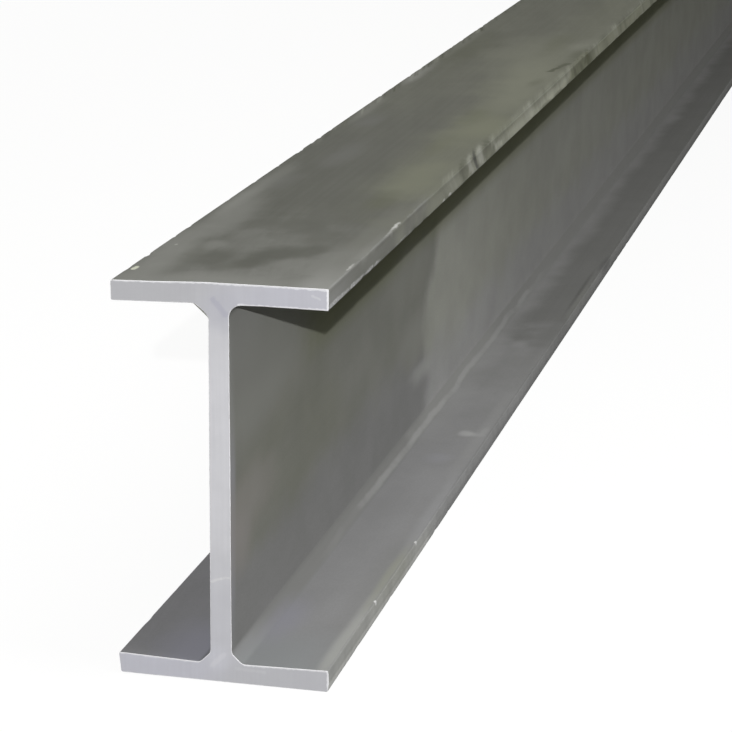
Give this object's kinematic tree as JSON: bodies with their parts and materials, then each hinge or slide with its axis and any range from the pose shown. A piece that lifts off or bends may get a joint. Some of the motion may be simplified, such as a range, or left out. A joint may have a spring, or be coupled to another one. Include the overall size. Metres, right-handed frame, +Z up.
{
  "type": "steel i-beam",
  "caption": "Straight steel i-beam in a stock length, with parallel flanges, a web as thick as the flanges, rounded roots and square sawn ends.",
  "frame": {"origin": "on the floor under the web, halfway along the beam", "axes": "+Z up through the web, +Y along the beam, +X across the flanges"},
  "size_m": [0.15, 6, 0.28],
  "materials": {
    "rolled_steel": "plain rolled steel, olive grey and satin, with scuffed edges and bright sawn ends"
  },
  "bodies": {
    "root": {"i_beam": "rolled_steel"}
  },
  "joints": []
}
